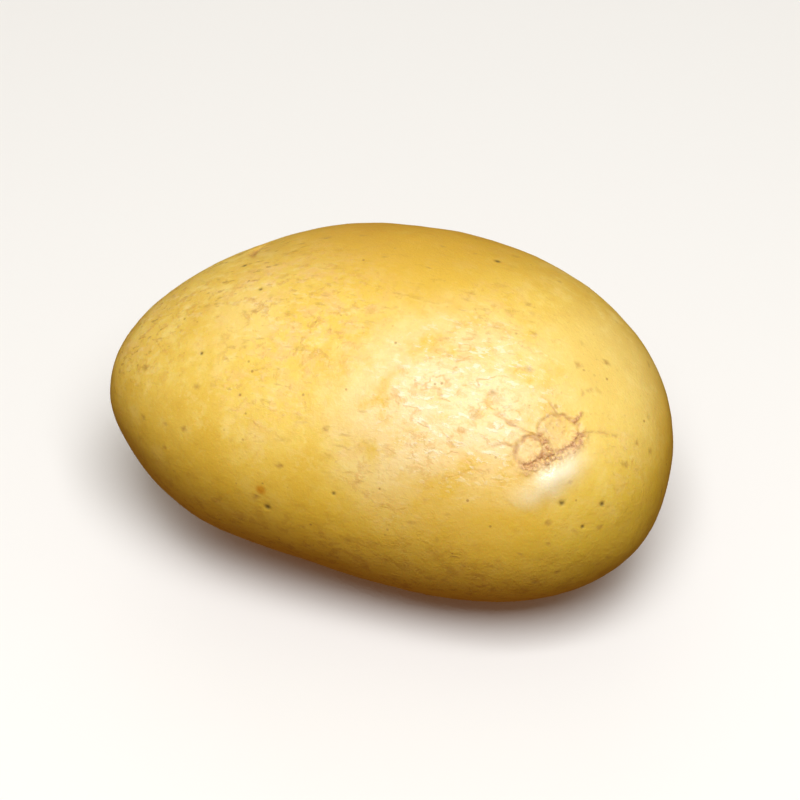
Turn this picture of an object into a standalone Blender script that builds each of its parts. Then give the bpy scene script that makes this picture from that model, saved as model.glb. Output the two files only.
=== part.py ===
"""A whole table potato, lying on the side it comes to rest on.

The tuber grew as one piece, so it is one solid, in one node. It starts as an icosphere,
which is drawn out into a blunt, tapered, slightly bent body. That gets its low swellings,
its eyes and the scar of its stolon. It is then rolled until it balances, brought to its
overall size and pressed flat where it touches the table.

Metres, +Z up. The origin is on the table, under the middle of the bounding box. +X points
to the broad rose end, where the eyes crowd together, and -X to the stem end. The tuber
bends round the -Y side.
"""

import math

import bmesh
import bpy
import numpy as np
from mathutils import Vector, noise

MM = 0.001

# Overall size at rest, which the finished tuber measures exactly
LENGTH = 90.0 * MM
WIDTH = 62.0 * MM
HEIGHT = 51.0 * MM

# The plain body, in half sizes: 2 is an ellipsoid, and more is blunter
END_POWER = 2.2
SIDE_POWER = 2.05
TAPER = 0.055
BEND = 0.20

# Low, broad waves all over, as on anything that grew in soil
WAVE_LENGTH = 24.0 * MM
WAVE_HEIGHT = 0.9 * MM

# Swellings and hollows: (share of the half length towards +X, degrees round from +Y
# through +Z, reach, height)
SWELLINGS = (
    (0.55, 215, 15.0 * MM, 0.7 * MM),
    (0.65, 340, 12.0 * MM, 0.6 * MM),
    (0.30, 40, 16.0 * MM, -0.2 * MM),
    (-0.25, 205, 14.0 * MM, -0.6 * MM),
    (-0.35, 330, 15.0 * MM, 2.0 * MM),
    (-0.60, 120, 14.0 * MM, -0.3 * MM),
    (-0.75, 60, 14.0 * MM, -0.5 * MM),
    (-0.85, 200, 11.0 * MM, -2.0 * MM),
    (-0.97, 120, 10.0 * MM, 1.4 * MM),
)

# Eyes, placed as swellings are: (along, round, width, depth)
EYES = (
    (0.68, 129, 11.0 * MM, 0.7 * MM),
    (0.80, 262, 9.5 * MM, 1.0 * MM),
    (0.50, 18, 11.0 * MM, 1.0 * MM),
    (0.28, 236, 11.5 * MM, 0.9 * MM),
    (0.02, 352, 12.0 * MM, 1.0 * MM),
    (-0.30, 285, 12.0 * MM, 0.8 * MM),
    (-0.55, 60, 11.0 * MM, 0.5 * MM),
    (0.95, 320, 8.0 * MM, 0.8 * MM),
)
EYE_ASPECT = 0.5
BROW_HEIGHT = 0.35
BROW_PLACE = 0.42
BROW_CURL = 0.9

STOLON_SCAR_WIDTH = 8.0 * MM
STOLON_SCAR_DEPTH = 1.3 * MM

# How far the table flattens the belly
FLAT_DEPTH = 0.7 * MM
# Rolling until it balances: a point this much lower than another bears e times its load
FOOT_SOFTNESS = 0.2 * MM
ROLL_STEPS = 400
ROLL_GAIN = 0.02
# A roll changes the overall size and sizing shifts the balance, so the two take turns
SETTLE_ROUNDS = 4

SPHERE_SUBDIVISIONS = 5

SKIN_COLOUR = (0.78, 0.55, 0.20, 1.0)
SKIN_ROUGHNESS = 0.5


def clear_scene():
    for obj in list(bpy.data.objects):
        bpy.data.objects.remove(obj)


def plain_body(direction):
    """The point of the blunt, tapered, bent body that lies in this direction, in half sizes."""
    ring = (abs(direction.y) ** SIDE_POWER + abs(direction.z) ** SIDE_POWER) ** (1 / SIDE_POWER)
    reach = (abs(direction.x) ** END_POWER + ring**END_POWER) ** (-1 / END_POWER)
    along, across, up = direction * reach
    girth = 1 + TAPER * along
    return Vector((along, across * girth - BEND * along**2, up * girth))


def to_size(point):
    """Half sizes turned into metres."""
    return Vector((point.x * LENGTH / 2, point.y * WIDTH / 2, point.z * HEIGHT / 2))


def spot(along, around):
    """The place on the plain body that is this far towards +X and this far round from +Y."""
    ring = math.sqrt(max(0.0, 1 - along**2))
    turn = math.radians(around)
    return to_size(plain_body(Vector((along, ring * math.cos(turn), ring * math.sin(turn)))))


def bell(distance, reach):
    """1 at no distance, falling smoothly to almost 0 at twice the reach."""
    return math.exp(-((distance / reach) ** 2))


def swelling_height(point):
    return sum(
        height * bell((point - spot(along, around)).length, reach)
        for along, around, reach, height in SWELLINGS
    )


def eye_height(point, along, around, width, depth):
    """A wide, shallow dimple with a low brow, curved like an eyebrow, on its stem side."""
    centre = spot(along, around)
    offset = point - centre
    if offset.length > 2 * width:
        return 0.0
    outward = centre.normalized()
    to_rose = (Vector((1, 0, 0)) - outward * outward.x).normalized()
    sideways = to_rose.cross(outward)
    across, ahead = offset.dot(sideways) / width, offset.dot(to_rose) / width
    dimple = bell(math.hypot(across, ahead / EYE_ASPECT), 0.5)
    brow_line = ahead + BROW_PLACE - BROW_CURL * across**2
    brow = bell(brow_line, 0.16) * bell(across, 0.5)
    return depth * (BROW_HEIGHT * brow - dimple)


def relief(point):
    """How far the skin stands out from the plain body here, in metres."""
    waves = WAVE_HEIGHT * noise.noise(point / WAVE_LENGTH)
    eyes = sum(eye_height(point, *eye) for eye in EYES)
    from_scar = (point - spot(-1, 0)).length
    scar = STOLON_SCAR_DEPTH * bell(from_scar, STOLON_SCAR_WIDTH / 2)
    return waves + swelling_height(point) + eyes - scar


def shape_tuber(mesh):
    for vertex in mesh.verts:
        body = to_size(plain_body(vertex.co.normalized()))
        vertex.co = body + body.normalized() * relief(body)


def centre_of_mass(mesh):
    """The centre of a solid tuber: each face and the origin make a tetrahedron."""
    volume, moment = 0.0, Vector()
    for face in mesh.faces:
        a, b, c = (vertex.co for vertex in face.verts)
        share = a.dot(b.cross(c)) / 6
        volume += share
        moment += share * (a + b + c) / 4
    return moment / volume


def resting_down(mesh, centre):
    """The direction that faces the table once the tuber has rolled until it balances.

    The lowest points carry the weight. While their middle is off to one side of the centre
    of mass, the tuber rolls the other way.
    """
    points = np.array([vertex.co - centre for vertex in mesh.verts])
    down = np.array((0.0, 0.0, -1.0))
    for _ in range(ROLL_STEPS):
        depth = points @ down
        load = np.exp((depth - depth.max()) / FOOT_SOFTNESS)
        foot = load @ points / load.sum()
        lever = foot / np.linalg.norm(foot) - down
        down -= ROLL_GAIN * lever
        down /= np.linalg.norm(down)
    return Vector(down)


def settle(mesh):
    """Rolls the tuber about its centre of mass onto the side that it rests on."""
    centre = centre_of_mass(mesh)
    turn = resting_down(mesh, centre).rotation_difference(Vector((0, 0, -1)))
    bmesh.ops.rotate(mesh, cent=centre, matrix=turn.to_matrix(), verts=mesh.verts)


def extent(mesh, axis):
    values = [vertex.co[axis] for vertex in mesh.verts]
    return min(values), max(values)


def bring_to_size(mesh):
    """Scales and moves the tuber onto its overall sizes, with FLAT_DEPTH of it still below the table."""
    sizes = (LENGTH, WIDTH, HEIGHT + FLAT_DEPTH)
    bounds = [extent(mesh, axis) for axis in range(3)]
    factors = Vector(size / (high - low) for size, (low, high) in zip(sizes, bounds))
    middle = Vector((low + high) / 2 for low, high in bounds)
    middle.z = bounds[2][0]
    for vertex in mesh.verts:
        vertex.co = (vertex.co - middle) * factors
        vertex.co.z -= FLAT_DEPTH


def press_flat(mesh):
    for vertex in mesh.verts:
        vertex.co.z = max(vertex.co.z, 0.0)


def skin_material():
    material = bpy.data.materials.new("potato_skin")
    material.use_nodes = True
    shader = material.node_tree.nodes["Principled BSDF"]
    shader.inputs["Base Color"].default_value = SKIN_COLOUR
    shader.inputs["Roughness"].default_value = SKIN_ROUGHNESS
    shader.inputs["Metallic"].default_value = 0.0
    material.diffuse_color = SKIN_COLOUR
    return material


def make_potato(collection):
    bpy.ops.mesh.primitive_ico_sphere_add(subdivisions=SPHERE_SUBDIVISIONS, radius=1.0)
    potato = bpy.context.active_object
    potato.name = "potato"
    mesh = bmesh.new()
    mesh.from_mesh(potato.data)
    shape_tuber(mesh)
    for _ in range(SETTLE_ROUNDS):
        settle(mesh)
        bring_to_size(mesh)
    press_flat(mesh)
    mesh.to_mesh(potato.data)
    mesh.free()
    potato.data.shade_smooth()
    potato.data.materials.append(skin_material())
    for other in list(potato.users_collection):
        other.objects.unlink(potato)
    collection.objects.link(potato)
    return potato


clear_scene()
potato_collection = bpy.data.collections.new("potato")
bpy.context.scene.collection.children.link(potato_collection)
make_potato(potato_collection)
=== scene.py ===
import math
from functools import reduce

import bmesh
import bpy
import numpy as np
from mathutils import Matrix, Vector, noise


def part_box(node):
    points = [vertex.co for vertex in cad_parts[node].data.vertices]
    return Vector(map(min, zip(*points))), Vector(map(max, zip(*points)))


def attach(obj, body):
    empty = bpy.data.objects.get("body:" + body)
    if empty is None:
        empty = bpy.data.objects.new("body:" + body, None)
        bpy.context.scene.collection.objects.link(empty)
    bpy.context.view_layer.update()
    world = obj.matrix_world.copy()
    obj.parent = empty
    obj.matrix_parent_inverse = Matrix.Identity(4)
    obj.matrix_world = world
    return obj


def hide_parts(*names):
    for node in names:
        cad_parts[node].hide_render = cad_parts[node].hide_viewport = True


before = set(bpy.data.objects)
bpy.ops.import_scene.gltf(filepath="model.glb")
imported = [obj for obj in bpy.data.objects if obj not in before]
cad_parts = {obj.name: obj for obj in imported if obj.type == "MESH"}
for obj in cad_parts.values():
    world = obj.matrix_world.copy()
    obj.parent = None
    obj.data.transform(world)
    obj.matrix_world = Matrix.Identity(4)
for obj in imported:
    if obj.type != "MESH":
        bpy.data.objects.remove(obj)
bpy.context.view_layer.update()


# The skin: a thin, smooth cork over firm yellow flesh, all grown in one piece. Its mesh is
# the solid's own, made finer, and finer still round the eyes and the specks, where the
# smallest shapes are.

MM = 0.001
MERGE_DISTANCE = 0.01 * MM
SMOOTHING_LEVELS = 2

low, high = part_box("potato")
tuber_middle = (low + high) / 2


def merged_copy(node):
    """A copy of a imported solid's mesh, with its loose triangles joined."""
    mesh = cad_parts[node].data.copy()
    faces = bmesh.new()
    faces.from_mesh(mesh)
    bmesh.ops.remove_doubles(faces, verts=faces.verts, dist=MERGE_DISTANCE)
    faces.to_mesh(mesh)
    faces.free()
    mesh.materials.clear()
    return mesh


def keep_as_evaluated(piece):
    """Turns what the piece's modifiers make into its plain mesh, and takes them off."""
    bpy.context.view_layer.update()
    evaluated = piece.evaluated_get(bpy.context.evaluated_depsgraph_get())
    mesh = bpy.data.meshes.new_from_object(evaluated)
    piece.modifiers.clear()
    piece.data = mesh


skin = bpy.data.objects.new("potato_skin", merged_copy("potato"))
bpy.context.scene.collection.objects.link(skin)
smoothing = skin.modifiers.new("smoothing", "SUBSURF")
smoothing.levels = SMOOTHING_LEVELS
smoothing.render_levels = SMOOTHING_LEVELS
keep_as_evaluated(skin)


def towards(bearing, lift):
    """The direction this many degrees round from +X and this many up."""
    turn, rise = math.radians(bearing), math.radians(lift)
    return Vector((math.cos(turn) * math.cos(rise), math.sin(turn) * math.cos(rise), math.sin(rise)))


class Spot:
    """A place on the skin that lies this way from the middle, with its own three directions."""

    def __init__(self, bearing, lift, width):
        ray = towards(bearing, lift)

        def in_line(vertex):
            return (vertex.co - tuber_middle).normalized().dot(ray)

        nearest = max(skin.data.vertices, key=in_line)
        self.centre = nearest.co.copy()
        self.out = nearest.normal.copy()
        self.ahead = (Vector((1, 0, 0)) - self.out * self.out.x).normalized()
        self.left = self.out.cross(self.ahead)
        self.width = width

    def measure(self, points):
        """How far points lie ahead, to the left, and in a straight line, in metres."""
        offset = points - np.array(self.centre)
        away = np.linalg.norm(offset, axis=1)
        return offset @ np.array(self.ahead), offset @ np.array(self.left), away


def make_finer(centre, reach):
    """Halves every edge of the skin that lies this near."""
    faces = bmesh.new()
    faces.from_mesh(skin.data)
    near = [
        edge
        for edge in faces.edges
        if all((vertex.co - centre).length < reach for vertex in edge.verts)
    ]
    bmesh.ops.subdivide_edges(faces, edges=near, cuts=1, use_grid_fill=True)
    faces.to_mesh(skin.data)
    faces.free()


# Each place: (bearing, lift, width)
scabby_eye = Spot(-32.4, 23.2, 11.0 * MM)
plain_eyes = [
    Spot(-11.7, -23.2, 9.5 * MM),
    Spot(47.0, 12.8, 11.0 * MM),
    Spot(-50.7, -43.5, 11.5 * MM),
    Spot(90.4, -5.1, 12.0 * MM),
    Spot(148.6, -57.6, 12.0 * MM),
    Spot(160.1, 32.9, 11.0 * MM),
    Spot(0.9, -7.5, 8.0 * MM),
]
stolon_scar = Spot(-171.9, -0.9, 8.0 * MM)
dark_specks = [
    Spot(-37.6, 11.3, 0.50 * MM),
    Spot(-29.6, 8.0, 0.45 * MM),
    Spot(-34.6, 4.8, 0.32 * MM),
    Spot(173.0, 36.5, 0.45 * MM),
    Spot(41.0, 54.0, 0.55 * MM),
    Spot(-113.5, 0.5, 0.55 * MM),
    Spot(-95.0, 10.0, 0.30 * MM),
    Spot(-150.0, 28.0, 0.30 * MM),
    Spot(-168.0, 45.0, 0.35 * MM),
    Spot(20.0, -20.0, 0.45 * MM),
    Spot(75.0, 30.0, 0.40 * MM),
    Spot(120.0, 10.0, 0.50 * MM),
]

# How far round each one the mesh is made finer, once for each reach
EYE_REACH = 0.5
SCABBY_EYE_REACHES = (9.0 * MM, 6.0 * MM)
SPECK_REACHES = (4.0, 2.5)
for eye in plain_eyes + [stolon_scar]:
    make_finer(eye.centre, EYE_REACH * eye.width)
for reach in SCABBY_EYE_REACHES:
    make_finer(scabby_eye.centre, reach)
for speck in dark_specks:
    for reach in SPECK_REACHES:
        make_finer(speck.centre, reach * speck.width)


def bell(distance, reach):
    """1 at no distance, falling smoothly to almost 0 at twice the reach."""
    return np.exp(-((distance / reach) ** 2))


def uneven(points, size, seed):
    """Smooth noise from -1 to 1, in lumps of about this size."""
    shift = Vector((seed, 2.3 * seed, -1.7 * seed))
    return np.array([noise.noise(Vector(point) / size + shift) for point in points])


def read_points(name):
    values = np.empty(len(skin.data.vertices) * 3, np.float32)
    skin.data.vertices.foreach_get(name, values)
    return values.reshape(-1, 3).astype(float)


def move_points(points):
    """Moves the skin's points, but none of them below the flat spot it rests on."""
    points[:, 2] = np.maximum(points[:, 2], low.z)
    skin.data.vertices.foreach_set("co", points.astype(np.float32).ravel())
    skin.data.update()


points = read_points("co")
outward = read_points("normal")
relief = np.zeros(len(points))
shares = {name: np.zeros(len(points)) for name in ("crevice", "crust", "blush", "speck", "lip")}


def raise_to(name, where, values):
    """Lets a share of crust, say, be at least this much here."""
    shares[name][where] = np.maximum(shares[name][where], np.clip(values, 0, 1))


# A plain eye: a curved crease under a low brow on the stem side, and before it a sleeping
# bud between two smaller ones, all in a faint hollow. Places and reaches are shares of its
# width: u to the left and v ahead, both a little uneven.
CREASE_DEPTH = 0.42 * MM
BROW_HEIGHT = 0.22 * MM
BUD_HEIGHT = 0.26 * MM
SIDE_BUD_HEIGHT = 0.12 * MM
HOLLOW_DEPTH = 0.12 * MM
ARCH = 0.75
CREASE_PLACE, CREASE_REACH, CREASE_LENGTH = -0.09, 0.045, 0.30
BROW_PLACE, BROW_REACH, BROW_LENGTH = -0.20, 0.08, 0.36
BUD_PLACE, BUD_REACH, BUD_ASPECT = 0.01, 0.085, 1.3
SIDE_BUDS = ((0.17, 0.05, 1.0), (-0.19, 0.04, 0.6))
SIDE_BUD_REACH = 0.05
HOLLOW_PLACE, HOLLOW_REACH = -0.02, 0.20
UNEVEN_ACROSS, UNEVEN_AHEAD = 0.05, 0.03
for number, eye in enumerate(plain_eyes):
    ahead, left, away = eye.measure(points)
    near = away < eye.width
    lumpy = uneven(points[near], size=1.6 * MM, seed=20.0 + number)
    u = left[near] / eye.width + UNEVEN_ACROSS * lumpy
    wavy = uneven(points[near], size=2.2 * MM, seed=30.0 + number)
    v = ahead[near] / eye.width + UNEVEN_AHEAD * wavy
    side = 1 if number % 2 else -1
    arch = v - ARCH * u**2
    crease = bell(arch - CREASE_PLACE, CREASE_REACH) * bell(u - 0.04 * side, CREASE_LENGTH)
    brow = bell(arch - BROW_PLACE, BROW_REACH) * bell(u, BROW_LENGTH)
    bud = bell(np.hypot(u / BUD_ASPECT, v - BUD_PLACE), BUD_REACH)
    side_buds = sum(
        share * bell(np.hypot(u - side * beside, v - before), SIDE_BUD_REACH)
        for beside, before, share in SIDE_BUDS
    )
    hollow = bell(np.hypot(u, v - HOLLOW_PLACE), HOLLOW_REACH)
    relief[near] += BROW_HEIGHT * brow - CREASE_DEPTH * crease - HOLLOW_DEPTH * hollow
    relief[near] += BUD_HEIGHT * bud * (1 + 0.5 * lumpy) + SIDE_BUD_HEIGHT * side_buds
    # Painted shade: the middle of each eye is darkened through its crevice mark.
    shadow = 0.25 * bell(np.hypot(u, v), 0.16)
    raise_to("crevice", near, 0.9 * crease * (1 + 0.5 * lumpy) + shadow)
    raise_to("blush", near, 0.8 * hollow)

# The stolon's scar: a corky ring round the stump it left. Reaches are shares of its width.
SCAR_RING_HEIGHT, SCAR_RING_RADIUS, SCAR_RING_REACH = 0.25 * MM, 0.26, 0.07
STUMP_HEIGHT, STUMP_REACH = 0.45 * MM, 0.12
SCAR_PIT_DEPTH, SCAR_PIT_SIZE = 0.15 * MM, 0.7 * MM
ahead, left, away = stolon_scar.measure(points)
near = away < stolon_scar.width
from_stump = away[near] / stolon_scar.width
pits = uneven(points[near], SCAR_PIT_SIZE, seed=5.0)
relief[near] += SCAR_RING_HEIGHT * bell(from_stump - SCAR_RING_RADIUS, SCAR_RING_REACH)
relief[near] += STUMP_HEIGHT * bell(from_stump, STUMP_REACH)
relief[near] += SCAR_PIT_DEPTH * pits * bell(from_stump, 0.3)
raise_to("crust", near, 1.1 * bell(from_stump, 0.26) + 0.35 * pits * bell(from_stump, 0.4))

# The scabby eye: two healed rings with a crusty lower edge, a smooth lip below them that shines and is
# painted pale with a whitish highlight, and hairline cracks, whose gutters and cracks get painted shade as
# well as brown cork. Places and sizes are millimetres, to the right and up, seen from above the eye with
# the broad end to the right.
SCABBY_EYE_REACH = 11.5
# Each ring: how bold its gutter is, and its outline
RINGS = (
    (
        0.62,
        (
            (-1.4, -1.0), (-2.4, 0.0), (-3.0, 1.4), (-2.5, 2.7), (-1.3, 3.6), (0.2, 4.2),
            (1.8, 4.1), (3.2, 3.4), (4.0, 2.0), (3.7, 0.7), (2.4, -0.6), (0.7, -1.5),
        ),
    ),
    (
        1.15,
        (
            (-3.1, -5.0), (-4.3, -4.7), (-5.3, -3.4), (-5.4, -1.9), (-4.6, -0.7), (-3.3, -0.2),
            (-2.1, -0.7), (-1.4, -1.7), (-1.5, -3.4),
        ),
    ),
)
GUTTER_DEPTH, GUTTER_REACH = 0.16, 0.32
RIM_HEIGHT, RIM_PLACE, RIM_REACH = 0.09, 0.6, 0.5
RING_HOLLOW_DEPTH, RING_HOLLOW_REACH = 0.06, 2.2
RING_GRAIN = 0.05
# Each band of crust: its width, and its line
CRUST_BANDS = (
    (1.10, ((-3.2, -5.0), (-1.2, -3.6), (0.8, -2.3), (2.3, -1.1), (3.4, 0.4), (3.9, 1.7))),
    (0.62, ((-2.2, 0.0), (-1.2, -0.9), (-0.5, -2.0), (-0.8, -3.1))),
    (1.10, ((-1.9, -3.3), (-0.5, -2.7))),
    (0.38, ((2.2, 4.1), (3.4, 5.2))),
)
CRUST_HEIGHT = 0.24
CRUST_CREASE_DEPTH, CRUST_CREASE_WIDTH = 0.14, 0.4
CRACKS = (
    ((-9.6, 2.1), (-7.8, 1.2), (-5.9, 0.5), (-4.3, 0.1), (-2.5, 0.0)),
    ((-5.6, -2.6), (-7.4, -2.2), (-9.0, -2.9)),
    ((-1.7, 5.6), (-0.9, 4.6), (-0.4, 4.1)),
    ((4.1, 2.3), (6.1, 3.1), (8.4, 3.5), (10.2, 3.6)),
    ((3.0, 8.4), (4.5, 9.8), (6.2, 9.7)),
)
CRACK_DEPTH, CRACK_REACH = 0.12, 0.18
LIP_RIGHT, LIP_UP, LIP_TURN = 1.4, -5.3, 50.0
LIP_LENGTH, LIP_WIDTH, LIP_HEIGHT = 5.0, 2.1, 0.7
ahead, left, away = scabby_eye.measure(points)
near = away < SCABBY_EYE_REACH * MM
right, up = ahead[near] / MM, left[near] / MM


def distance_to_line(x, y, line):
    """The distance of each point from a line of short straight runs."""
    nearest = np.full(len(x), np.inf)
    for (x0, y0), (x1, y1) in zip(line, line[1:]):
        run = np.array((x1 - x0, y1 - y0))
        along = np.clip(((x - x0) * run[0] + (y - y0) * run[1]) / (run @ run), 0, 1)
        to_run = np.hypot(x - x0 - along * run[0], y - y0 - along * run[1])
        nearest = np.minimum(nearest, to_run)
    return nearest


wander = uneven(points[near], size=2.2 * MM, seed=1.0)
grains = uneven(points[near], size=0.5 * MM, seed=2.0)
jitter_right = 0.5 * uneven(points[near], size=1.2 * MM, seed=3.0)
jitter_up = 0.5 * uneven(points[near], size=1.2 * MM, seed=4.0)
for boldness, ring in RINGS:
    to_ring = distance_to_line(right + 0.8 * jitter_right, up + 0.8 * jitter_up, ring + ring[:1])
    middle_right, middle_up = np.mean(ring, axis=0)
    within = bell(np.hypot(right - middle_right, up - middle_up), RING_HOLLOW_REACH)
    gutter = bell(to_ring, GUTTER_REACH) * np.clip(boldness + 0.9 * wander + 0.6 * grains, 0.15, 1)
    rim = bell(to_ring - RIM_PLACE, RIM_REACH)
    relief[near] += MM * (RIM_HEIGHT * rim - GUTTER_DEPTH * gutter)
    relief[near] += MM * (RING_GRAIN * grains - RING_HOLLOW_DEPTH) * within
    raise_to("crevice", near, gutter)
    raise_to("blush", near, 0.8 * within + 0.4 * bell(to_ring, 0.7))
    raise_to("crust", near, 1.6 * within * np.clip(grains + 0.5 * wander - 0.12, 0, 1))
for width, line in CRUST_BANDS:
    to_crust = distance_to_line(right + jitter_right, up + jitter_up, line)
    crusty = bell(to_crust, width) * np.clip(0.75 + 1.1 * grains, 0, 1.2)
    crease = bell(to_crust, CRUST_CREASE_WIDTH * width)
    relief[near] += MM * (CRUST_HEIGHT * crusty - CRUST_CREASE_DEPTH * crease)
    raise_to("crust", near, crusty)
for crack in CRACKS:
    to_crack = distance_to_line(right + 0.5 * jitter_right, up + 0.5 * jitter_up, crack)
    relief[near] -= MM * CRACK_DEPTH * bell(to_crack, CRACK_REACH)
    raise_to("crevice", near, 0.8 * bell(to_crack, 0.2) * (0.75 + 0.5 * wander))
turn = math.radians(LIP_TURN)
lengthways = (right - LIP_RIGHT) * math.cos(turn) + (up - LIP_UP) * math.sin(turn)
crossways = (up - LIP_UP) * math.cos(turn) - (right - LIP_RIGHT) * math.sin(turn)
lip = bell(lengthways, LIP_LENGTH) * bell(crossways, LIP_WIDTH)
relief[near] += MM * LIP_HEIGHT * lip
raise_to("lip", near, lip * (1 + 0.5 * wander))

# Dark specks: pin-sized pits with dirt left in them.
SPECK_DEPTH = 0.15 * MM
for speck in dark_specks:
    ahead, left, away = speck.measure(points)
    near = away < 4 * speck.width
    relief[near] -= SPECK_DEPTH * bell(away[near], speck.width)
    raise_to("speck", near, 1.25 * bell(away[near], 0.8 * speck.width))

for name, values in shares.items():
    stored = skin.data.attributes.new(name, "FLOAT", "POINT")
    stored.data.foreach_set("value", values.astype(np.float32))

# The whole skin has faint dents and swellings: (height, size, seed)
FAINT_DENTS = ((0.12 * MM, 7.0 * MM, 6.0), (0.035 * MM, 2.5 * MM, 7.0))
for height, size, seed in FAINT_DENTS:
    relief += height * uneven(points, size, seed)
move_points(points + outward * relief[:, None])


# Lenticels, the pores that a tuber breathes through, are scattered over all of the skin:
# each is a tiny corky dot with a low rim.

tree = bpy.data.node_groups.new("lenticels", "GeometryNodeTree")
tree.interface.new_socket(name="Geometry", in_out="OUTPUT", socket_type="NodeSocketGeometry")
inputs = {
    name: tree.interface.new_socket(name=name, in_out="INPUT", socket_type=kind)
    for name, kind in (
        ("Geometry", "NodeSocketGeometry"),
        ("Spacing", "NodeSocketFloat"),
        ("Density", "NodeSocketFloat"),
        ("Smallest radius", "NodeSocketFloat"),
        ("Largest radius", "NodeSocketFloat"),
        ("Height", "NodeSocketFloat"),
        ("Seed", "NodeSocketInt"),
        ("Material", "NodeSocketMaterial"),
    )
}


def add(nodes, kind, values=None, **settings):
    """A node of this kind, with its settings, and each input set to a value or joined to a socket."""
    made = nodes.nodes.new(kind)
    for name, value in settings.items():
        setattr(made, name, value)
    for key, value in (values or {}).items():
        if isinstance(value, bpy.types.NodeSocket):
            nodes.links.new(value, made.inputs[key])
        else:
            made.inputs[key].default_value = value
    return made


# Most are faint and a few are dark: the strength is a chance to this power.
FAINTNESS = 1.7
FAINTNESS_SEED = 3
DOT_EDGE = 0.35
RIM_WIDTH = 0.5

given = add(tree, "NodeGroupInput").outputs
here = add(tree, "GeometryNodeInputPosition").outputs[0]
scatter = add(
    tree,
    "GeometryNodeDistributePointsOnFaces",
    {
        "Mesh": given["Geometry"],
        "Distance Min": given["Spacing"],
        "Density Max": given["Density"],
        "Seed": given["Seed"],
    },
    distribute_method="POISSON",
).outputs["Points"]
nearest_pore = add(
    tree,
    "GeometryNodeSampleNearest",
    {"Geometry": scatter, "Sample Position": here},
    domain="POINT",
).outputs[0]


def random_value(lowest, highest, seed):
    values = {2: lowest, 3: highest, "Seed": seed}
    return add(tree, "FunctionNodeRandomValue", values, data_type="FLOAT").outputs[1]


def of_nearest_pore(value, kind):
    """What this value is at the nearest pore."""
    values = {"Geometry": scatter, "Value": value, "Index": nearest_pore}
    return add(tree, "GeometryNodeSampleIndex", values, data_type=kind, domain="POINT").outputs[0]


def tree_maths(operation, *values):
    return add(tree, "ShaderNodeMath", dict(enumerate(values)), operation=operation).outputs[0]


def falling(value, start, end):
    """1 up to start, 0 from end, and smooth in between."""
    values = {"Value": value, "From Min": start, "From Max": end, "To Min": 1.0, "To Max": 0.0}
    return add(tree, "ShaderNodeMapRange", values, interpolation_type="SMOOTHSTEP").outputs["Result"]


radius_of_each = random_value(given["Smallest radius"], given["Largest radius"], given["Seed"])
strength_of_each = tree_maths("POWER", random_value(0.0, 1.0, FAINTNESS_SEED), FAINTNESS)
place = of_nearest_pore(here, "FLOAT_VECTOR")
radius = of_nearest_pore(radius_of_each, "FLOAT")
strength = of_nearest_pore(strength_of_each, "FLOAT")
away = add(tree, "ShaderNodeVectorMath", {0: here, 1: place}, operation="DISTANCE").outputs["Value"]
in_radii = tree_maths("DIVIDE", away, radius)
dot = falling(in_radii, DOT_EDGE, 1.0)
rim = falling(tree_maths("ABSOLUTE", tree_maths("SUBTRACT", in_radii, 1.0)), 0.0, RIM_WIDTH)
lift = tree_maths("MULTIPLY", tree_maths("SUBTRACT", rim, dot), given["Height"])
normal = add(tree, "GeometryNodeInputNormal").outputs[0]
offset = add(tree, "ShaderNodeVectorMath", {0: normal, "Scale": lift}, operation="SCALE").outputs[0]
marked = add(
    tree,
    "GeometryNodeStoreNamedAttribute",
    {"Geometry": given["Geometry"], "Name": "lenticel", "Value": tree_maths("MULTIPLY", dot, strength)},
    data_type="FLOAT",
    domain="POINT",
).outputs[0]
raised = add(tree, "GeometryNodeSetPosition", {"Geometry": marked, "Offset": offset}).outputs[0]
realized = add(tree, "GeometryNodeRealizeInstances", {"Geometry": raised}).outputs[0]
coated = {"Geometry": realized, "Material": given["Material"]}
finished = add(tree, "GeometryNodeSetMaterial", coated).outputs[0]
add(tree, "NodeGroupOutput", {"Geometry": finished})


# The skin's finish: straw yellow over gold, with painted shade making it browner and duller low down, at
# the ends and along the back, a rubbed, netted pale patch on the upper side that is partly a painted
# sheen, fine brown grain, and the marks made above.

GOLD = (0.785, 0.505, 0.066, 1)
STRAW = (0.860, 0.610, 0.110, 1)
PALE_STRAW = (0.910, 0.690, 0.220, 1)
DEEP_GOLD = (0.740, 0.465, 0.035, 1)
CREAM = (0.940, 0.760, 0.450, 1)
WHITISH = (0.960, 0.880, 0.660, 1)
ROSY = (0.880, 0.560, 0.220, 1)
PINK_CORK = (0.780, 0.450, 0.220, 1)
AMBER = (0.620, 0.260, 0.010, 1)
RUST = (0.620, 0.320, 0.075, 1)
BROWN = (0.590, 0.290, 0.013, 1)
REDDISH = (0.430, 0.180, 0.030, 1)
UMBER = (0.380, 0.190, 0.045, 1)
SCAB_AND_CREASE_SHADE = (0.430, 0.190, 0.060, 1)
OLIVE = (0.600, 0.430, 0.030, 1)
SOIL = (0.130, 0.085, 0.020, 1)

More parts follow.
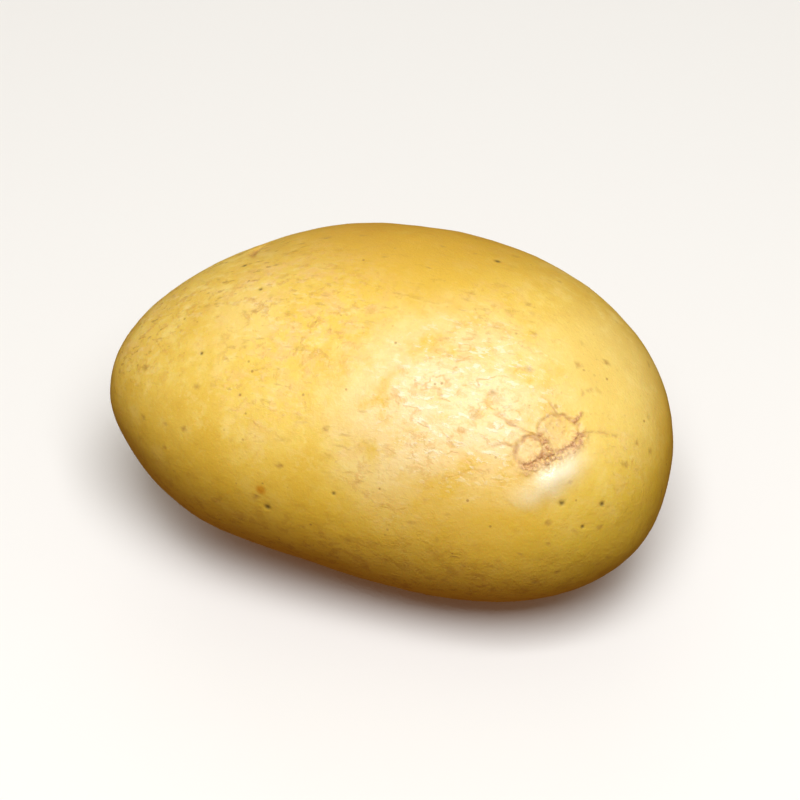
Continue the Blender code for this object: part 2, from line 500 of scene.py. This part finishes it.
# Patches: (place in millimetres, reach in millimetres, share)
RUBBED_AND_SHEEN_PATCH = ((14, -20, 43), 25, 1.0)
GOLDEN_PATCH = ((18, -31, 32), 15, 0.60)
STRAW_SHOULDER = ((34, -3, 42), 19, 0.55)
STRAW_PATCH = ((-22, -10, 47), 9, 0.60)
PINKISH_PATCH = ((-13, -7, 48), 22, 1.0)
SCURFY_PATCHES = (((-14, -7, 48), 22, 1.0), ((-36, -6, 38), 20, 0.85), ((14, -20, 43), 20, 0.8))
FLAKY_PATCH = ((15, -18, 45), 20, 1.0)
STREAKY_PATCHES = (((-24, 5, 44), 22, 1.0), ((-40, -8, 34), 16, 1.0), ((4, 14, 48), 24, 0.75))
PAINTED_SHADE_PATCHES = (((-4, 22, 44), 34, 1.0), ((46, 2, 22), 16, 0.5), ((-46, -2, 26), 15, 0.55))
PAINTED_SHADE_RIDGE = ((2, 17, 47), 31, 0.65)
AMBER_SPOT = ((-14.2, -29.3, 29.0), 1.2, 0.85)
GREENED_PATCH = ((40, -22, 23), 20, 0.40)

skin_finish = bpy.data.materials.new("potato_skin")
skin_finish.use_nodes = True
paint = skin_finish.node_tree
shader = paint.nodes["Principled BSDF"]
where = add(paint, "ShaderNodeTexCoord").outputs["Object"]


def lumps(size, detail=3.0, rough=0.5, warp=0.0, stretch=None):
    """Noise from 0 to 1 in lumps of this size, and longer along an axis with a stretch under 1."""
    place = where
    if stretch:
        place = add(paint, "ShaderNodeMapping", {"Vector": where, "Scale": stretch}).outputs[0]
    values = {
        "Vector": place, "Scale": 1 / size, "Detail": detail, "Roughness": rough, "Distortion": warp,
    }
    return add(paint, "ShaderNodeTexNoise", values).outputs["Fac"]


def between(value, start, end):
    """0 up to start, 1 from end, and smooth in between."""
    values = {"Value": value, "From Min": start, "From Max": end}
    return add(paint, "ShaderNodeMapRange", values, interpolation_type="SMOOTHSTEP").outputs["Result"]


def maths(operation, first, second=0.0):
    return add(paint, "ShaderNodeMath", {0: first, 1: second}, operation=operation).outputs[0]


def times(first, second):
    return maths("MULTIPLY", first, second)


def plus(first, second):
    return maths("ADD", first, second)


def minus(first, second):
    return maths("SUBTRACT", first, second)


def larger(first, second):
    return maths("MAXIMUM", first, second)


def blended(under, over, mask, most=1.0):
    """One colour over another where the mask is, and at most this opaque."""
    share = mask if most == 1.0 else times(mask, most)
    mixed = add(paint, "ShaderNodeMix", {"Factor": share}, data_type="RGBA")
    for name, colour in (("A", under), ("B", over)):
        socket = next(s for s in mixed.inputs if s.name == name and s.type == "RGBA")
        if isinstance(colour, tuple):
            socket.default_value = colour
        else:
            paint.links.new(colour, socket)
    return next(s for s in mixed.outputs if s.type == "RGBA")


def patch(place, reach, share):
    """This share round a place, down to 0 a reach away."""
    centre = Vector(place) * MM
    away = add(paint, "ShaderNodeVectorMath", {0: where, 1: centre}, operation="DISTANCE").outputs["Value"]
    return times(between(away, reach * MM, 0.25 * reach * MM), share)


def patches(rows):
    """The largest share of any of these patches."""
    return reduce(larger, [patch(*row) for row in rows])


def mark(name):
    return add(paint, "ShaderNodeAttribute", attribute_name=name).outputs["Fac"]


# The ground: gold, mottled with straw and a little rust.
broad = lumps(22 * MM, detail=2.0)
middling = lumps(5.0 * MM, detail=4.0, rough=0.6)
small = lumps(2.2 * MM, detail=5.0, rough=0.68)
tiny = lumps(0.55 * MM, detail=3.0, rough=0.65)
mottle = plus(times(broad, 0.6), times(middling, 0.4))
colour = blended(GOLD, STRAW, between(mottle, 0.38, 0.60))
colour = blended(colour, PALE_STRAW, between(middling, 0.54, 0.68), most=0.55)
colour = blended(colour, RUST, between(small, 0.50, 0.68), most=0.16)
colour = blended(colour, PALE_STRAW, between(small, 0.48, 0.34), most=0.40)

# Paler, deeper and pinker patches. Broad lumps bring some pink, scurf and streaks to every side.
# The rubbed patch is pale cream cork and also a painted sheen, palest round where the key light's gloss
# falls.
rubbed_and_sheen = times(patch(*RUBBED_AND_SHEEN_PATCH), between(middling, 0.26, 0.56))
elsewhere = between(lumps(24 * MM, detail=1.0), 0.47, 0.60)
pinkish = larger(patch(*PINKISH_PATCH), times(elsewhere, 0.6))
pink_flecks = between(lumps(2.8 * MM, detail=4.0, rough=0.7), 0.47, 0.60)
colour = blended(colour, CREAM, rubbed_and_sheen, most=0.78)
colour = blended(colour, PALE_STRAW, patch(*STRAW_SHOULDER))
colour = blended(colour, GOLD, patch(*GOLDEN_PATCH))
colour = blended(colour, ROSY, times(pinkish, pink_flecks), most=0.60)
colour = blended(colour, PALE_STRAW, patch(*STRAW_PATCH))

# Scurf: thin brownish flakes in loose clusters.
scurfy = larger(patches(SCURFY_PATCHES), times(elsewhere, 0.7))
scurf_flakes = lumps(2.1 * MM, detail=4.0, rough=0.66, warp=0.4)
scurf = times(scurfy, between(scurf_flakes, 0.53, 0.66))
colour = blended(colour, RUST, scurf, most=0.55)

# Peeling: pale, curled flakes with rosy skin between them, and a broken net of fine cracks.
flaky = larger(patch(*FLAKY_PATCH), times(scurfy, 0.25))
flakes = lumps(1.25 * MM, detail=4.0, rough=0.66, stretch=(0.62, 1.25, 1.25))
peeling = times(flaky, between(flakes, 0.535, 0.63))
between_flakes = times(flaky, between(flakes, 0.47, 0.40))
contours = lumps(2.9 * MM, detail=2.0, rough=0.5, stretch=(0.7, 1.2, 1.2))
off_contour = maths("ABSOLUTE", minus(contours, 0.5))
net_broken = between(lumps(2.8 * MM, detail=3.0, rough=0.6), 0.48, 0.60)
net = times(times(between(off_contour, 0.045, 0.0), flaky), net_broken)
colour = blended(colour, WHITISH, peeling, most=0.64)
colour = blended(colour, ROSY, between_flakes, most=0.55)
colour = blended(colour, RUST, net, most=0.50)

# Brown streaks along the tuber, and the finest grain.
streaky = larger(patches(STREAKY_PATCHES), times(elsewhere, 0.6))
streak_lumps = lumps(3.4 * MM, detail=3.0, rough=0.6, stretch=(1.0, 3.2, 3.2))
streaks = times(streaky, between(streak_lumps, 0.57, 0.70))
colour = blended(colour, UMBER, streaks, most=0.60)
colour = blended(colour, UMBER, between(tiny, 0.60, 0.80), most=0.30)
colour = blended(colour, PALE_STRAW, between(tiny, 0.42, 0.22), most=0.35)

# Painted shade: browner at the ends and along the back, and darker and browner towards the bottom. Reddish
# patches, more of them low down, and green where light got in.
HEIGHT_WAVER = 16 * MM
patchily = plus(times(between(mottle, 0.36, 0.62), 0.5), 0.5)
height = add(paint, "ShaderNodeSeparateXYZ", {"Vector": where}).outputs["Z"]
uneven_height = plus(height, times(minus(broad, 0.5), HEIGHT_WAVER))
flank = between(uneven_height, 40 * MM, 25 * MM)
lower = between(uneven_height, 28 * MM, 6 * MM)
low_down = between(uneven_height, 34 * MM, 14 * MM)
reddish_lumps = between(lumps(2.6 * MM, detail=5.0, rough=0.68, warp=0.3), 0.50, 0.62)
colour = blended(colour, DEEP_GOLD, patch(*PAINTED_SHADE_RIDGE))
colour = blended(colour, BROWN, times(patches(PAINTED_SHADE_PATCHES), patchily), most=0.70)
# Painted shade: deeper gold and then brown towards the bottom.
colour = blended(colour, DEEP_GOLD, flank, most=0.76)
colour = blended(colour, BROWN, lower, most=0.68)
# Darker reddish patches, more of them towards the bottom.
colour = blended(colour, REDDISH, times(low_down, reddish_lumps), most=0.50)
colour = blended(colour, AMBER, patch(*AMBER_SPOT))
colour = blended(colour, OLIVE, patch(*GREENED_PATCH))

# Pin dots in groups, and then everything that the shaping and the lenticels marked.
PIN_DOT_SPACING = 2.6 * MM
cells = {"Vector": where, "Scale": 1 / PIN_DOT_SPACING, "Randomness": 1.0}
from_cell = add(paint, "ShaderNodeTexVoronoi", cells, feature="F1").outputs["Distance"]
dotted = between(lumps(7 * MM, detail=2.0), 0.44, 0.60)
pin_dots = times(between(from_cell, 0.12, 0.05), dotted)
blush = times(mark("blush"), between(small, 0.40, 0.60))
crust_grain = between(lumps(0.45 * MM, detail=3.0, rough=0.7), 0.35, 0.65)
colour = blended(colour, UMBER, pin_dots, most=0.70)
colour = blended(colour, UMBER, mark("lenticel"), most=0.72)
colour = blended(colour, ROSY, blush, most=0.50)
# Creases, gutters and cracks: brown cork, and painted shade darkening them.
colour = blended(colour, SCAB_AND_CREASE_SHADE, mark("crevice"), most=0.70)
colour = blended(colour, blended(SCAB_AND_CREASE_SHADE, PINK_CORK, crust_grain), mark("crust"), most=0.95)
# The lip: pale skin and a painted highlight, whitish where the key light's gloss falls on it.
colour = blended(colour, WHITISH, mark("lip"), most=0.80)
colour = blended(colour, SOIL, mark("speck"), most=0.85)
paint.links.new(colour, shader.inputs["Base Color"])

# A faint waxy sheen: duller where it is rubbed or crusty, glossier on the lip.
SHEEN_ROUGHNESS = 0.33
dull = plus(times(middling, 0.16), times(mark("crust"), 0.25))
dull = plus(dull, times(rubbed_and_sheen, 0.08))
dull = minus(dull, times(mark("lip"), 0.26))
paint.links.new(plus(dull, SHEEN_ROUGHNESS), shader.inputs["Roughness"])
shader.inputs["IOR"].default_value = 1.45
shader.inputs["Subsurface Weight"].default_value = 0.12
shader.inputs["Subsurface Radius"].default_value = (1.0, 0.45, 0.12)
shader.inputs["Subsurface Scale"].default_value = 2.0 * MM

# The grain that a finger feels, finer than the shaping.
TOUCH_DEPTH = 0.10 * MM
bumps = plus(times(tiny, 0.5), times(small, 0.9))
bumps = minus(bumps, times(net, 0.6))
bumps = plus(bumps, times(plus(peeling, scurf), 0.5))
bumps = plus(bumps, times(times(crust_grain, mark("crust")), 0.9))
touch = {"Height": bumps, "Distance": TOUCH_DEPTH, "Strength": 0.8}
bump = add(paint, "ShaderNodeBump", touch)
paint.links.new(bump.outputs["Normal"], shader.inputs["Normal"])

lenticels = skin.modifiers.new("lenticels", "NODES")
lenticels.node_group = tree
for name, value in (
    ("Spacing", 3.4 * MM),
    ("Density", 60000.0),
    ("Smallest radius", 0.35 * MM),
    ("Largest radius", 0.75 * MM),
    ("Height", 0.035 * MM),
    ("Seed", 7),
    ("Material", skin_finish),
):
    lenticels[inputs[name].identifier] = value
keep_as_evaluated(skin)
move_points(read_points("co"))
skin.data.shade_smooth()
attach(skin, "root")
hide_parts("potato")


# The table top: plain and pale. It throws no light back onto the tuber, so the lower edge
# stays as dark as among other tubers.

FLOOR_SIDE = 4.0
FLOOR_DROP = 0.02 * MM
bpy.ops.mesh.primitive_plane_add(size=FLOOR_SIDE, location=(0, 0, -FLOOR_DROP))
floor = bpy.context.active_object
floor.name = "floor"
floor_finish = bpy.data.materials.new("floor")
floor_finish.use_nodes = True
floor_shader = floor_finish.node_tree.nodes["Principled BSDF"]
floor_shader.inputs["Base Color"].default_value = (0.86, 0.855, 0.85, 1)
floor_shader.inputs["Roughness"].default_value = 0.85
floor.data.materials.append(floor_finish)
floor.visible_diffuse = False
floor.visible_glossy = False


# The light: a large soft box above the camera, a wider and weaker one behind, and a pale
# room that is darker and warmer below.

ROOM_ABOVE = (0.262, 0.240, 0.192, 1)
ROOM_BELOW = (0.185, 0.080, 0.014, 1)
ROOM_BELOW_ENDS, ROOM_ABOVE_STARTS = -0.5, 0.6
world = bpy.data.worlds.new("room")
world.use_nodes = True
room = world.node_tree
facing = add(room, "ShaderNodeTexCoord").outputs["Generated"]
upward = add(room, "ShaderNodeSeparateXYZ", {"Vector": facing}).outputs["Z"]
span = {"Value": upward, "From Min": ROOM_BELOW_ENDS, "From Max": ROOM_ABOVE_STARTS}
above = add(room, "ShaderNodeMapRange", span).outputs["Result"]
tones = {"Factor": above, 6: ROOM_BELOW, 7: ROOM_ABOVE}
glow = add(room, "ShaderNodeMix", tones, data_type="RGBA").outputs[2]
room.links.new(glow, room.nodes["Background"].inputs["Color"])
bpy.context.scene.world = world


def soft_box(name, bearing, lift, distance, side, watts):
    lamp = bpy.data.lights.new(name, "AREA")
    lamp.size = side
    lamp.energy = watts
    box = bpy.data.objects.new(name, lamp)
    box.location = tuber_middle + towards(bearing, lift) * distance
    box.rotation_euler = (tuber_middle - box.location).to_track_quat("-Z", "Y").to_euler()
    bpy.context.scene.collection.objects.link(box)
    return box


soft_box("key_light", bearing=-68, lift=64, distance=0.9, side=0.50, watts=8.8)
back_light = soft_box("back_light", bearing=112, lift=22, distance=1.1, side=0.9, watts=2.4)
back_light.visible_glossy = False


# The camera looks down on the eye's side, with a long lens.

CAMERA_BEARING = -74.7
CAMERA_LIFT = 42.0
CAMERA_DISTANCE = 0.62
LENS = 175.0
lens = bpy.data.cameras.new("camera")
lens.lens = LENS
camera = bpy.data.objects.new("camera", lens)
camera.location = tuber_middle + towards(CAMERA_BEARING, CAMERA_LIFT) * CAMERA_DISTANCE
camera.rotation_euler = (tuber_middle - camera.location).to_track_quat("-Z", "Y").to_euler()
bpy.context.scene.collection.objects.link(camera)
bpy.context.scene.camera = camera
bpy.context.scene.view_settings.view_transform = "Standard"
